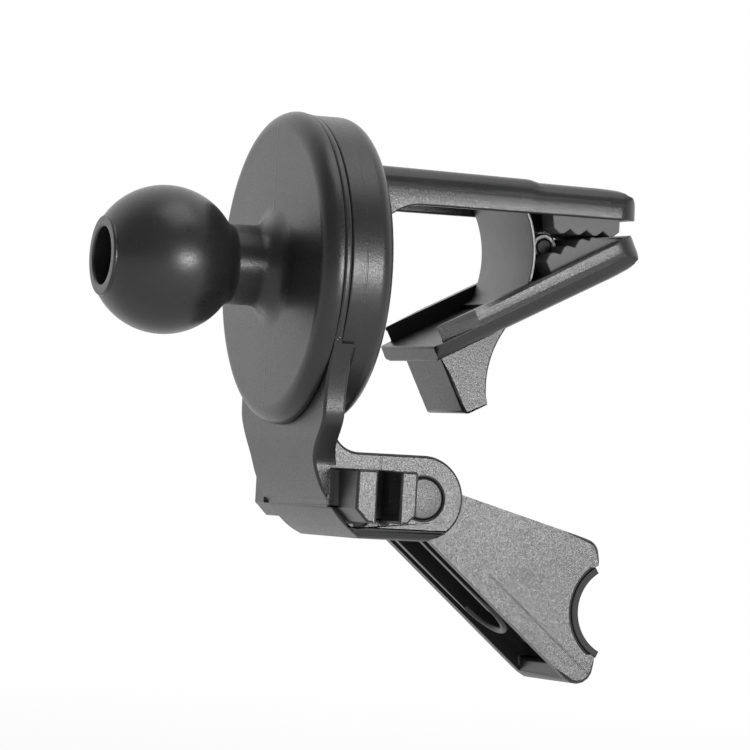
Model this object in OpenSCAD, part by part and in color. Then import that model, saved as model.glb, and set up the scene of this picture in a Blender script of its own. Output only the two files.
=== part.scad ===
// Vent clip mount with a ball: a sprung jaw that grips one slat of an air vent, a ball that a holder
// snaps onto, and a bracket that swivels between them and carries a folding support leg.
// The origin is the ball's centre. -Y runs out through the ball, +Y into the vent, +Z is up.

/* [Ball and plate] */
// Diameter of the ball
ball_d = 17; // [14:0.5:25.4]
// Bore down the middle of the ball
bore_d = 6.6; // [5.8:0.1:7.2]
// Depth of that bore from the nose ring's face
bore_depth = 15; // [8:0.5:17]
// Narrower bore behind it, which holds the screw's head
driver_d = 6; // [5.8:0.1:6.2]
// Outer diameter of the flat ring round the bore's mouth
nose_d = 9.2; // [8.6:0.2:10]
// How far that ring stands out of the ball
nose_rise = 0.35; // [0.1:0.05:0.8]
// Diameter of the neck behind the ball
neck_d = 9.2; // [8.8:0.2:11]
// Fillet where the neck meets the ball
ball_fillet = 1.2; // [0.6:0.2:2]
// Fillet where the neck meets the plate
neck_fillet = 2.6; // [1:0.2:4]
// Distance from the ball's centre to the plate's front face
neck_reach = 12.96; // [11.8:0.1:18]
// Diameter of the plate
plate_d = 36; // [34:0.5:42]
// Thickness of the plate
plate_t = 2.24; // [2:0.1:4]
// Rounding of the plate's front edge
plate_round = 2.05; // [0.5:0.05:2.2]
// Diameter of the spigot that the bracket turns on
spigot_d = 16; // [13:0.5:18]
// How far the spigot enters the clip's disc
spigot_seat = 1.6; // [0.8:0.1:2.4]
// Width across the spigot's two flats, which lock it in the disc
spigot_flats = 13.4; // [10:0.2:15]

/* [Screw and washers] */
// Shank diameter of the centre screw
screw_d = 2.9; // [2.2:0.1:3.5]
// Length of the screw under its head
screw_len = 9; // [7:0.5:9.5]
// Diameter of the screw's head
head_d = 5.4; // [4.8:0.1:5.6]
// Height of the screw's head
head_t = 2.1; // [1.4:0.1:2.6]
// Thickness of the washer under the head
washer_t = 0.5; // [0.3:0.1:1]
// Plastic that the screw clamps under its washer
web_t = 3.6; // [2:0.1:4.4]
// Inner diameter of the friction washer
friction_in_d = 20; // [19:0.5:24]
// Outer diameter of the friction washer
friction_out_d = 27; // [26:0.5:32]
// Depth of the groove that holds the friction washer
friction_seat = 0.8; // [0.4:0.1:1.4]

/* [Swivel bracket] */
// Thickness of the bracket's ring between plate and disc
ring_t = 0.9; // [0.7:0.1:2]
// How far that ring stays inside the plate's edge
ring_inset = 0.15; // [0.05:0.05:0.6]
// Thickness of the upright below the ring
upright_t = 2.6; // [2:0.1:4]
// Height of the horns' tops
horn_z = -8.3; // [-11:0.1:-7]
// Half of the upright's width at its waist
waist_half = 13.7; // [12:0.1:14.5]
// Height of the waist above the plate's lowest point
waist_rise = 1.6; // [0:0.1:3]
// How far below the plate the upright is as narrow as the ears
hip_drop = 4.4; // [3:0.1:6]
// Radius of the bend at the foot of the upright
bend_r = 13.25; // [12.6:0.25:16]
// How far below the plate that bend starts
bend_drop = 1; // [-0.5:0.5:3]
// How far the bend reaches behind the bracket's front face
bend_run = 8; // [6:0.2:10]
// How far the bracket reaches below the plate
bracket_drop = 12.5; // [12:0.1:13]
// Rounding of the bracket's lower corners, seen from the front
bracket_corner = 1.2; // [0.6:0.1:2]
// Gap between the leg and each ear
ear_clear = 0.4; // [0.2:0.05:0.8]
// Thickness of each ear
ear_t = 2.65; // [2:0.05:4]
// Radius of the ears' round ends
ear_r = 4.9; // [4.2:0.1:5]
// Fillet between the upright and the ears' top edge
ear_cove = 3.2; // [1:0.1:4]
// How far the fins stand out of the ears
fin_reach = 6.3; // [2:0.1:8]
// Distance of the front fin behind the bracket's front face
fin_start = 3.35; // [2:0.05:4]
// Thickness of the front fin
fin_front_t = 2.6; // [1.5:0.1:3]
// Thickness of the rear fin
fin_rear_t = 2.15; // [1.5:0.05:2.5]
// Gap between the two fins
fin_gap = 2.65; // [1.5:0.05:3.5]
// Height of the fins
fin_h = 6; // [5:0.1:7]
// Corner cut off the front fin, low at its front
fin_front_cut = 1.5; // [0.6:0.1:2]
// Corner cut off the rear fin, low at its rear
fin_rear_cut = 1.1; // [0.6:0.1:1.5]
// Fillet at each fin's root
fin_cove = 1.1; // [0.3:0.1:1.2]
// Rounding of the fins' edges
fin_edge = 0.35; // [0.1:0.05:0.6]
// Height of the leaf-shaped hole that lightens the bend between the fins
leaf_w = 1.3; // [0.8:0.1:1.6]
// Radius of that hole's two sides
leaf_r = 2; // [1.6:0.1:3]
// Distance of the hole's middle behind the front fin
leaf_back = 0.7; // [0.3:0.1:1.5]
// Height of the hole's middle above the bracket's underside
leaf_rise = 2.3; // [1.8:0.1:3]

/* [Support leg] */
// Distance of the leg's pin behind the bracket's front face
pin_back = 13.95; // [13.4:0.05:16]
// How far the leg's pin lies below the plate
pin_drop = 7.6; // [7:0.1:8.2]
// Diameter of the leg's pin
pin_d = 4.7; // [3:0.1:5.5]
// Width of the leg
leg_w = 14.6; // [12:0.1:14.8]
// Length of the leg from its pin
leg_reach = 23.6; // [20:0.2:30]
// Slope of the leg's upper edge
leg_top_tilt = 15.1; // [10:0.5:20]
// Slope of the leg's open lower edge
leg_low_tilt = 40.2; // [36:0.5:44]
// Distance of both edges from the pin's axis
leg_root = 2.2; // [1.6:0.1:3]
// Radius of the leg's hub
hub_r = 4.2; // [3.4:0.1:4.6]
// Wall of the leg
leg_wall = 1.2; // [0.8:0.1:1.8]
// Rounding of the leg's end, above its foot
leg_tip_round = 1.8; // [0.5:0.1:3]
// Rounding of the leg's end, below its foot
leg_toe_round = 2; // [0.5:0.1:3]
// Radius of the hollow at the leg's foot
notch_r = 6.1; // [5:0.1:7]
// How deep that hollow is
notch_depth = 3.1; // [2:0.1:4]
// Height of the hollow's middle below the pin
notch_drop = 12; // [11:0.2:14]
// Thickness of the rubber strip in the hollow
foot_t = 0.85; // [0.5:0.05:1.5]
// Half of the angle that the rubber strip covers
foot_half_angle = 60; // [45:1:63]
// How far the strip is turned down from the middle of the hollow
foot_turn = 3; // [0:0.5:5]
// Outer width of the stiffening loop inside the leg
loop_w = 8.8; // [6:0.2:10]
// Reach of the loop from the pin, along the lower edge
loop_reach = 21.3; // [16:0.2:22]
// Wall of the loop
loop_wall = 0.9; // [0.6:0.1:1.4]

/* [Clip body and upper jaw] */
// How far the clip's disc stays inside the plate's edge
disc_inset = 0.3; // [0.1:0.05:0.8]
// Thickness of the disc
disc_t = 5.54; // [4.6:0.1:8]
// Rounding of the disc's back edge
disc_round = 2; // [0.5:0.1:2.5]
// Diameter of the screw boss on the disc's back
boss_d = 8; // [6:0.5:10]
// Height of that boss
boss_t = 2.2; // [2:0.1:4]
// Width of both jaws
jaw_w = 18.2; // [17:0.2:20]
// Wall of both jaws
jaw_wall = 1.1; // [0.8:0.05:1.4]
// Wall at both jaws' tips
tip_wall = 1.5; // [1:0.1:2]
// Rounding of the jaws' long outer edges
jaw_round = 2.4; // [1:0.1:2.8]
// Rounding of the jaws' tips, seen from above
tip_round = 3; // [1:0.1:5]
// Height of the upper jaw's top face at the disc
jaw_top_z = 12.2; // [11.8:0.1:13]
// Height of the upper jaw's lower rim
rim_z = 7.85; // [7.6:0.05:8.1]
// Slope of the upper jaw's top face
jaw_slope = 1; // [0:0.1:2]
// Thickness of the upper jaw under its top face
jaw_roof = 1.5; // [1:0.1:2]
// Distance of the upper jaw's tip behind the jaw's hinge
tip_reach = 10.1; // [9:0.1:13]
// Rounding of the upper jaw's tip, seen from the side
tip_bow = 3.2; // [1:0.1:3.8]
// Rounding of the upper jaw's rim at its tip
rim_round = 0.6; // [0.2:0.1:0.8]
// Rounding of the troughs' inner corners
trough_round = 1; // [0.3:0.1:1.4]
// Fillet under the upper jaw where it meets the disc
root_cove = 6; // [2:0.2:7]

/* [Lower jaw] */
// Distance of the jaw's hinge pin behind the disc
hinge_back = 23.36; // [23:0.02:23.8]
// Height of the jaw's hinge pin
hinge_z = 4.3; // [4.1:0.1:4.5]
// Diameter of the hinge pin
hinge_d = 1.8; // [1.4:0.1:2]
// Radius of the lugs round the hinge pin
lug_r = 1.6; // [1.4:0.05:1.7]
// Width of the upper jaw's lug
lug_mid_w = 4.4; // [3:0.2:5]
// Width of each of the lower jaw's two lugs
lug_side_w = 1.8; // [1.2:0.1:2]
// Slope of the closed lower jaw
jaw_tilt = 27.1; // [25:0.1:28]
// Distance of the lower jaw's rim under the hinge pin
rim_drop = 2.43; // [2.3:0.05:2.8]
// Depth of the lower jaw from rim to underside
jaw_depth = 3.8; // [3.6:0.1:5]
// Thickness of the lower jaw's floor
jaw_floor = 1.9; // [1.2:0.1:2]
// Length of the lower jaw from its hinge to its tip
jaw_front = 9.6; // [9:0.1:9.8]
// Length of the lower jaw's side walls behind its hinge
jaw_back = 17.6; // [14:0.2:18.4]
// How far the floor's lip stands out behind the walls
lip = 1.3; // [0:0.1:1.6]
// Length of the slanted cut at the back of each wall
mitre_len = 4.9; // [2:0.1:6]
// Rounding under the lower jaw's tip
toe_round = 2.6; // [1:0.1:3.4]
// Rounding of the lower jaw's rim at its tip
lower_rim_round = 0.9; // [0.2:0.1:1]
// Rounding of the lip's outer corners, seen from above
tail_round = 1.2; // [0.3:0.1:3]
// How far the lip's middle stands out beyond its corners
tail_bow = 0.35; // [0:0.05:1]
// Width of the finger tab at its root
tab_root_w = 10.9; // [8:0.1:13]
// Width of the finger tab at its end
tab_end_w = 12; // [8:0.1:14]
// How far the finger tab stands below the floor
tab_reach = 7.35; // [5:0.05:8.5]
// Thickness of the finger tab at its end
tab_end_t = 3; // [2:0.1:4]
// Radius of the hollow behind the finger tab
tab_cove = 11.7; // [10:0.1:14]
// Rounding of the finger tab's long edges
tab_edge = 0.7; // [0.2:0.1:1]

/* [Spring and pads] */
// Gap on each side of the band spring in the jaws
spring_side = 0.2; // [0.1:0.05:1]
// Thickness of the band spring
spring_t = 0.4; // [0.2:0.05:0.6]
// Radius of the spring's bow, at the middle of the band
spring_r = 5.65; // [5:0.05:5.8]
// Gap left between the spring's bow and the hinge lugs
spring_gap = 0.35; // [0.2:0.05:0.8]
// How far the bow's centre lies below the hinge pin
bow_drop = 0.9; // [0:0.1:1.6]
// Length of the spring's two bends, on each side
spring_corner = 0.6; // [0.3:0.1:1]
// Length of the foot at each end of the spring
spring_foot = 3; // [1:0.5:4]
// Pitch of the teeth on the rubber pads
tooth_pitch = 2.1; // [1.4:0.1:3]
// Depth of the teeth
tooth_h = 0.6; // [0.3:0.05:0.9]
// Length of the upper pad
pad_len = 8.3; // [6:0.1:8.6]
// How far the upper pad starts before the hinge pin
pad_lead = 0.5; // [0.2:0.1:0.8]
// How far the upper pad's rear face leans back
pad_lean = 0.5; // [0:0.1:0.8]
// How far each pad stands proud of its jaw's rim
pad_proud = 2; // [1.6:0.05:2.1]
// Gap left between the two pads where they meet
pad_gap = 0.2; // [0.1:0.05:0.6]

/* [Hidden] */
$fn = 96;
// Running clearance of a pin or spigot, on the radius
run = 0.05;
// Axial clearance on each side of the bracket's ring
ring_gap = 0.05;
// Clearance between rigid pieces that move past each other
clear = 0.3;
// Clearance of a piece that sits in a pocket
seat = 0.1;
// How far a rounded outline stands outside the one that it trims
skin = 0.02;
// Fine rounding of moulded corners
fine = 0.3;
// How far a cutter reaches past what it cuts
over = 1;
// How deep joined solids reach into each other
sunk = 0.5;
// Axial gap between the lugs of the jaw's hinge
lug_gap = 0.15;
// Steps of each rounded corner, and of each longer curve
corner_steps = 6;
curve_steps = 18;

plastic = "#2a2a2b";
rubber = "#3b3b3c";
steel = "#8b8c8e";

ball_r = ball_d / 2;
neck_r = neck_d / 2;
plate_r = plate_d / 2;
nose_y = -sqrt(ball_r * ball_r - nose_d * nose_d / 4) - nose_rise;
plate_back_y = neck_reach + plate_t;
ring_y = plate_back_y + ring_gap;
disc_y = ring_y + ring_t + ring_gap;
disc_back_y = disc_y + disc_t;
spigot_end_y = disc_y + spigot_seat - ring_gap;
screw_seat_y = spigot_end_y - web_t;
head_y = screw_seat_y - washer_t;
screw_tip_y = head_y + screw_len;

ring_d = plate_d - 2 * ring_inset;
disc_d = plate_d - 2 * disc_inset;
horn_half = sqrt(plate_r * plate_r - horn_z * horn_z);
waist_z = waist_rise - plate_r;
hip_z = -plate_r - hip_drop;
bend_z = -plate_r - bend_drop;
bracket_low_z = -plate_r - bracket_drop;
pin_y = ring_y + pin_back;
pin_z = -plate_r - pin_drop;
ear_gap = leg_w + 2 * ear_clear;
ear_half = ear_gap / 2 + ear_t;
ear_top_z = pin_z + ear_r;
bend_y = ring_y + bend_r;
fin_top_z = pin_z + fin_h / 2;
fin_front_y = ring_y + fin_start;
fin_rear_y = fin_front_y + fin_front_t + fin_gap;

notch_y = leg_reach - notch_depth + notch_r;
loop_r = loop_w / 2;

hinge_y = disc_back_y + hinge_back;
tip_y = hinge_y + tip_reach;
jaw_half = jaw_w / 2;
trough_half = jaw_half - jaw_wall;
trough_start_y = disc_back_y + root_cove;
floor_t = rim_drop + jaw_depth - jaw_floor;
under_t = rim_drop + jaw_depth;
lug_half = lug_mid_w / 2 + lug_gap + lug_side_w;
spring_w = 2 * (trough_half - spring_side);
pad_half = trough_half - seat;
pad_start_y = hinge_y - pad_lead;
pad_low_z = rim_z - pad_proud;

// Unit vector along v
function unit(v) = v / norm(v);
// Rises smoothly from 0 to 1 as t goes from 0 to 1
function smooth(t) = t * t * (3 - 2 * t);
// Corner c of an outline, an [x, y, radius], rounded between the corners before and after it
function corner(before, c, after) =
    let (
        at = [c[0], c[1]],
        u = unit([before[0], before[1]] - at),
        v = unit([after[0], after[1]] - at),
        half = acos(u * v) / 2,
        centre = at + unit(u + v) * c[2] / sin(half),
        from = at + u * c[2] / tan(half) - centre,
        to = at + v * c[2] / tan(half) - centre,
        start = atan2(from[1], from[0]),
        turn = atan2(from[0] * to[1] - from[1] * to[0], from * to),
        steps = c[2] > 2.5 ? 2 * corner_steps : corner_steps
    )
    [for (i = [0:steps]) let (a = start + turn * i / steps) centre + c[2] * [cos(a), sin(a)]];
// Outline through corners [x, y, radius], each rounded by its radius
function rounded(c) = [
    for (i = [0:len(c) - 1])
        each (c[i][2] > 0
            ? corner(c[(i + len(c) - 1) % len(c)], c[i], c[(i + 1) % len(c)])
            : [[c[i][0], c[i][1]]])
];
// Height of a line through [y0, z0] that falls by the angle a
function falling(y, y0, z0, a) = z0 - (y - y0) * tan(a);
// Outline of a strip of thickness t along a path of points
function strip(path, t) =
    let (
        n = len(path) - 1,
        normal = [for (i = [0:n])
            let (d = unit(path[min(i + 1, n)] - path[max(i - 1, 0)])) [-d[1], d[0]]]
    )
    concat(
        [for (i = [0:n]) path[i] + normal[i] * t / 2],
        [for (i = [n:-1:0]) path[i] - normal[i] * t / 2]
    );

// A side outline in Y and Z, carried from X = from to X = to
module along_x(from, to)
    translate([from, 0, 0]) rotate([90, 0, 90]) linear_extrude(to - from) children();
// The same, across the middle plane
module across(w) along_x(-w / 2, w / 2) children();
// A front outline in X and Z, carried from Y = from to Y = to
module along_y(from, to)
    translate([0, to, 0]) rotate([90, 0, 0]) linear_extrude(to - from) children();
// A profile of radius and Y, turned about the Y axis
module about_y() rotate([-90, 0, 0]) rotate_extrude() children();
// A plain cylinder along the Y axis
module rod_y(d, from, to) translate([0, from, 0]) rotate([-90, 0, 0]) cylinder(d = d, h = to - from);
// A plain cylinder along X, across the middle plane
module rod_x(d, w, y, z) translate([-w / 2, y, z]) rotate([0, 90, 0]) cylinder(d = d, h = w);
// Both mirror images of a piece
module both() {
    children();
    mirror([1, 0, 0]) children();
}
// Fill of a concave corner at the origin, towards +x and +y
module cove(r) difference() {
    square(r);
    translate([r, r]) circle(r);
}
// A disc's half profile, with its edge at the start rounded
module disc_profile(r, t, edge) intersection() {
    square([r, t]);
    union() {
        square([r - edge, t]);
        translate([0, edge]) square([r, t]);
        translate([r - edge, edge]) circle(edge);
    }
}
// The lower jaw's own frame: x along its slope, y away from its floor, origin at the hinge pin
module jaw_frame() translate([0, hinge_y, hinge_z]) rotate([jaw_tilt, 0, 0]) children();
// The leg's own frame, with its origin at the leg's pin
module leg_frame() translate([0, pin_y, pin_z]) children();

// Ball, neck and plate, with the spigot that the bracket turns on
module ball_plate() color(plastic) {
    foot_x = neck_r + ball_fillet;
    foot_y = sqrt(pow(ball_r + ball_fillet, 2) - foot_x * foot_x);
    share = ball_r / (ball_r + ball_fillet);
    difference() {
        union() {
            about_y() difference() {
                union() {
                    intersection() {
                        circle(ball_r);
                        translate([0, nose_y]) square([ball_r, ball_r - nose_y]);
                    }
                    translate([0, nose_y]) square([nose_d / 2, -nose_y]);
                    square([neck_r, neck_reach + plate_t / 2]);
                    polygon([[0, foot_y], [foot_x, foot_y], [foot_x * share, foot_y * share], [0, 0]]);
                    translate([neck_r, neck_reach]) mirror([0, 1]) cove(neck_fillet);
                    translate([0, neck_reach]) disc_profile(plate_r, plate_t, plate_round);
                    translate([0, neck_reach + plate_t / 2])
                        square([spigot_d / 2, disc_y - neck_reach - plate_t / 2]);
                }
                translate([foot_x, foot_y]) circle(ball_fillet);
            }
            intersection() {
                rod_y(spigot_d, plate_back_y, spigot_end_y);
                along_y(plate_back_y, spigot_end_y) square([spigot_flats, spigot_d + over], center = true);
            }
        }
        rod_y(bore_d, nose_y - over, nose_y + bore_depth);
        rod_y(driver_d, nose_y, screw_seat_y);
        rod_y(screw_d + 2 * run, nose_y, spigot_end_y + over);
    }
}

// Pan-head screw with a cross recess
module centre_screw() color(steel) {
    recess_l = head_d * 0.62;
    recess_w = head_d * 0.17;
    dome = head_t * 0.4;
    difference() {
        about_y() {
            polygon([
                [0, head_y - head_t / 2], [screw_d / 2, head_y - head_t / 2],
                [screw_d / 2, screw_tip_y - screw_d / 2], [screw_d / 8, screw_tip_y], [0, screw_tip_y]
            ]);
            translate([0, head_y - head_t]) disc_profile(head_d / 2, head_t, dome);
        }
        for (turn = [0, 90])
            rotate([0, turn, 0])
                translate([-recess_l / 2, head_y - head_t - over, -recess_w / 2])
                    cube([recess_l, over + head_t * 0.6, recess_w]);
    }
}

// Flat washer under the screw's head
module screw_washer() color(steel)
    difference() {
        rod_y(driver_d - 2 * seat, head_y, screw_seat_y);
        rod_y(screw_d + 2 * seat, head_y - over, screw_seat_y + over);
    }

// Ring that rubs on the bracket and holds it where it is turned
module friction_washer() color(rubber)
    difference() {
        rod_y(friction_out_d, disc_y - ring_gap, disc_y + friction_seat);
        rod_y(friction_in_d, disc_y - over, disc_y + friction_seat + over);
    }

// Half of the bracket's width at the height z
function bracket_half(z) =
    z > waist_z ? waist_half + (horn_half - waist_half) * pow((z - waist_z) / (horn_z - waist_z), 2)
    : z > hip_z ? ear_half + (waist_half - ear_half) * smooth((z - hip_z) / (waist_z - hip_z))
    : ear_half;

// Front outline of the bracket below its ring, with its lower corners rounded
module bracket_front() {
    side = [for (i = [0:curve_steps])
        let (z = horn_z + (hip_z - horn_z) * i / curve_steps) [bracket_half(z), z]];
    foot = [for (i = [0:corner_steps])
        let (a = 90 * i / corner_steps)
        [ear_half - bracket_corner * (1 - cos(a)), bracket_low_z + bracket_corner * (1 - sin(a))]];
    half = concat(side, foot);
    polygon(concat(half, [for (i = [len(half) - 1:-1:0]) [-half[i][0], half[i][1]]]));
}

// Side outline of the bracket's ears, up to the round end at the leg's pin
module ear_side() {
    intersection() {
        union() {
            translate([bend_y, bend_z]) circle(bend_r);
            translate([ring_y, bend_z]) square([bend_r, ear_r]);
        }
        translate([ring_y, bracket_low_z]) square([pin_y - ring_y, ear_top_z - bracket_low_z]);
    }
    translate([pin_y, pin_z]) circle(ear_r);
    translate([ring_y + upright_t, ear_top_z]) cove(ear_cove);
}

// Side outline of the upright and of the bend at its foot
module upright_side() {
    translate([ring_y, bend_z]) square([upright_t, horn_z - bend_z]);
    intersection() {
        difference() {
            translate([bend_y, bend_z]) circle(bend_r);
            translate([bend_y, bend_z]) circle(bend_r - upright_t);
        }
        translate([ring_y, bracket_low_z]) square([bend_run, bend_z - bracket_low_z]);
    }
}

// A finger fin, with its root on the ear's outer face and one lower corner cut off
module fin(y, t, cut_front, cut_rear) {
    tip = ear_half + fin_reach;
    low_z = fin_top_z - fin_h;
    intersection() {
        along_x(ear_half - over, tip) polygon(rounded([
            [y - fin_cove, fin_top_z, fin_edge], [y + t + fin_cove, fin_top_z, fin_edge],
            [y + t + fin_cove, low_z + cut_rear, 0], [y + t, low_z + cut_rear, 0],
            [y + t - cut_rear, low_z, fin_edge], [y + cut_front, low_z, fin_edge],
            [y, low_z + cut_front, 0], [y - fin_cove, low_z + cut_front, 0]
        ]));
        translate([0, 0, low_z - over]) linear_extrude(fin_h + 2 * over) {
            translate([ear_half, y]) polygon(rounded([
                [-over, 0, 0], [fin_reach, 0, fin_edge], [fin_reach, t, fin_edge], [-over, t, 0]
            ]));
            translate([ear_half, y]) mirror([0, 1]) cove(fin_cove);
            translate([ear_half, y + t]) cove(fin_cove);
        }
    }
}

// Ring, upright, bend, ears and finger fins, moulded as one piece
module swivel_bracket() color(plastic) {
    leaf_turn = 38;
    leaf_y = fin_front_y + fin_front_t + leaf_back;
    leaf_z = bracket_low_z + leaf_rise;
    difference() {
        union() {
            rod_y(ring_d, ring_y, ring_y + ring_t);
            difference() {
                intersection() {
                    union() {
                        across(2 * horn_half) upright_side();
                        both() along_x(ear_gap / 2, ear_half) ear_side();
                    }
                    along_y(ring_y - over, pin_y + ear_r + over) bracket_front();
                }
                rod_y(disc_d + 2 * clear, ring_y + ring_t, pin_y);
            }
            both() {
                fin(fin_front_y, fin_front_t, fin_front_cut, fine);
                fin(fin_rear_y, fin_rear_t, fine, fin_rear_cut);
            }
        }
        rod_y(spigot_d + 2 * run, ring_y - over, ring_y + ring_t + over);
        rod_x(pin_d + 2 * run, 2 * (ear_half + over), pin_y, pin_z);
        across(2 * (ear_half + over))
            translate([leaf_y, leaf_z]) rotate(leaf_turn)
                intersection() {
                    translate([0, leaf_r - leaf_w / 2]) circle(leaf_r);
                    translate([0, leaf_w / 2 - leaf_r]) circle(leaf_r);
                }
    }
}

// Side outline of the leg: a wedge with a hollow foot
module leg_side() {
    top_root = leg_root / cos(leg_top_tilt);
    low_root = -leg_root / cos(leg_low_tilt);
    difference() {
        polygon(rounded([
            [0, top_root, 0],
            [leg_reach, falling(leg_reach, 0, top_root, leg_top_tilt), leg_tip_round],
            [leg_reach, falling(leg_reach, 0, low_root, leg_low_tilt), leg_toe_round],
            [0, low_root, 0]
        ]));
        translate([notch_y, -notch_drop]) circle(notch_r);
    }
}

// Side outline of the leg's hollow, open through the lower edge
module leg_hollow_side() {
    top_root = (leg_root - leg_wall) / cos(leg_top_tilt);
    end = leg_reach - 2 * leg_wall;
    difference() {
        polygon([
            [0, top_root],
            [end, falling(end, 0, top_root, leg_top_tilt)],
            [end, falling(end, 0, -leg_root * 3, leg_low_tilt)],
            [0, -leg_root * 3]
        ]);
        translate([notch_y, -notch_drop]) circle(notch_r + leg_wall);
        translate([end - leg_wall, -2 * leg_reach]) square([leg_reach, 2 * leg_reach - notch_drop - notch_r]);
    }
}

// Hollow leg that rests on the vent below the slat
module support_leg() color(plastic) {
    leg_frame() difference() {
        union() {
            difference() {
                across(leg_w) leg_side();
                across(leg_w - 2 * leg_wall) leg_hollow_side();
            }
            rod_x(2 * hub_r, leg_w, 0, 0);
            intersection() {
                across(leg_w) leg_side();
                rotate([-leg_low_tilt, 0, 0]) translate([0, 0, -leg_root - over]) linear_extrude(leg_reach)
                    difference() {
                        union() {
                            translate([0, loop_reach - loop_r]) circle(loop_r);
                            translate([-loop_r, 0]) square([loop_w, loop_reach - loop_r]);
                        }
                        translate([0, loop_reach - loop_r]) circle(loop_r - loop_wall);
                        translate([loop_wall - loop_r, -over])
                            square([loop_w - 2 * loop_wall, loop_reach - loop_r + over]);
                    }
            }
        }
        rod_x(pin_d, leg_w + 2 * over, 0, 0);
    }
}

// Plain pin through the ears and the leg's hub
module leg_pin() color(plastic) leg_frame() rod_x(pin_d, 2 * ear_half, 0, 0);

// Rubber strip along the hollow of the foot
module foot_strip() color(rubber) leg_frame() across(leg_w - 2 * seat)
    difference() {
        intersection() {
            translate([notch_y, -notch_drop]) circle(notch_r);
            translate([notch_y, -notch_drop]) rotate(foot_turn) polygon([
                [0, 0],
                2 * notch_r * [-cos(foot_half_angle), sin(foot_half_angle)],
                [-4 * notch_r, 0],
                2 * notch_r * [-cos(foot_half_angle), -sin(foot_half_angle)]
            ]);
        }
        translate([notch_y, -notch_drop]) circle(notch_r - foot_t);
    }

// Height of the upper jaw's top face, at the distance y
function jaw_top(y) = falling(y, disc_back_y, jaw_top_z, jaw_slope);

// Outer solid of the upper jaw, with its long edges and its tip rounded
module upper_jaw_solid() intersection() {
    across(jaw_w + 2 * over) polygon(rounded([
        [disc_back_y - over, jaw_top(disc_back_y - over), 0],
        [tip_y, jaw_top(tip_y), tip_bow],
        [tip_y, rim_z, rim_round],
        [disc_back_y, rim_z, root_cove],
        [disc_back_y, rim_z - root_cove - fine, 0],
        [disc_back_y - over, rim_z - root_cove - fine, 0]
    ]));
    translate([0, disc_back_y, jaw_top_z + skin]) rotate([-jaw_slope, 0, 0]) along_y(-2 * over, tip_y)
        polygon(rounded([
            [-jaw_half, -jaw_top_z * 2, 0], [jaw_half, -jaw_top_z * 2, 0],
            [jaw_half, 0, jaw_round], [-jaw_half, 0, jaw_round]
        ]));
    translate([0, 0, -jaw_top_z]) linear_extrude(jaw_top_z * 3) polygon(rounded([
        [-jaw_half - skin, 0, 0], [jaw_half + skin, 0, 0],
        [jaw_half + skin, tip_y + skin, tip_round], [-jaw_half - skin, tip_y + skin, tip_round]
    ]));
}

// Disc and upper jaw, with the hinge lug and the seats for spigot, washer and screw
module clip_body() color(plastic) {
    difference() {
        union() {
            about_y() translate([0, disc_back_y]) mirror([0, 1])
                disc_profile(disc_d / 2, disc_t, disc_round);
            rod_y(boss_d, disc_back_y - over, disc_back_y + boss_t);
            difference() {
                upper_jaw_solid();
                across(2 * trough_half) polygon(rounded([
                    [trough_start_y, rim_z - root_cove * 2, 0],
                    [tip_y - tip_wall, rim_z - root_cove * 2, 0],
                    [tip_y - tip_wall, jaw_top(tip_y) - jaw_roof, trough_round],
                    [trough_start_y, jaw_top(trough_start_y) - jaw_roof, trough_round]
                ]));
            }
            across(lug_mid_w) {
                translate([hinge_y, hinge_z]) circle(lug_r);
                translate([hinge_y - lug_r, hinge_z])
                    square([2 * lug_r, jaw_top(hinge_y) - jaw_roof - hinge_z + sunk]);
            }
        }
        rod_x(hinge_d + 2 * run, lug_mid_w + 2 * over, hinge_y, hinge_z);
        intersection() {
            rod_y(spigot_d + 2 * run, disc_y - over, disc_y + spigot_seat);
            along_y(disc_y - over, disc_y + spigot_seat)
                square([spigot_flats + 2 * run, spigot_d + over], center = true);
        }
        difference() {
            rod_y(friction_out_d + 2 * seat, disc_y - over, disc_y + friction_seat);
            rod_y(friction_in_d - 2 * seat, disc_y - 2 * over, disc_y + friction_seat + over);
        }
        rod_y(screw_d, disc_y, screw_tip_y + clear);
    }
}

// Outer solid of the lower jaw, in the jaw's own frame
module lower_jaw_solid() intersection() {
    across(jaw_w) polygon(rounded([
        [-jaw_back, -rim_drop, fine], [jaw_front, -rim_drop, lower_rim_round],
        [jaw_front, -under_t, toe_round], [-jaw_back - lip, -under_t, fine],
        [-jaw_back - lip, -floor_t, fine], [-jaw_back, -floor_t, 0]
    ]));
    along_y(-jaw_back - lip - over, jaw_front + over) polygon(rounded([
        [-jaw_half, -under_t, jaw_round], [jaw_half, -under_t, jaw_round],
        [jaw_half, over, 0], [-jaw_half, over, 0]
    ]));
    translate([0, 0, -under_t - over]) linear_extrude(under_t + 2 * over) polygon(rounded([
        [-jaw_half, -jaw_back - lip, tail_round], [0, -jaw_back - lip - tail_bow, 0],
        [jaw_half, -jaw_back - lip, tail_round],
        [jaw_half, jaw_front, tip_round], [-jaw_half, jaw_front, tip_round]
    ]));
}

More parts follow.
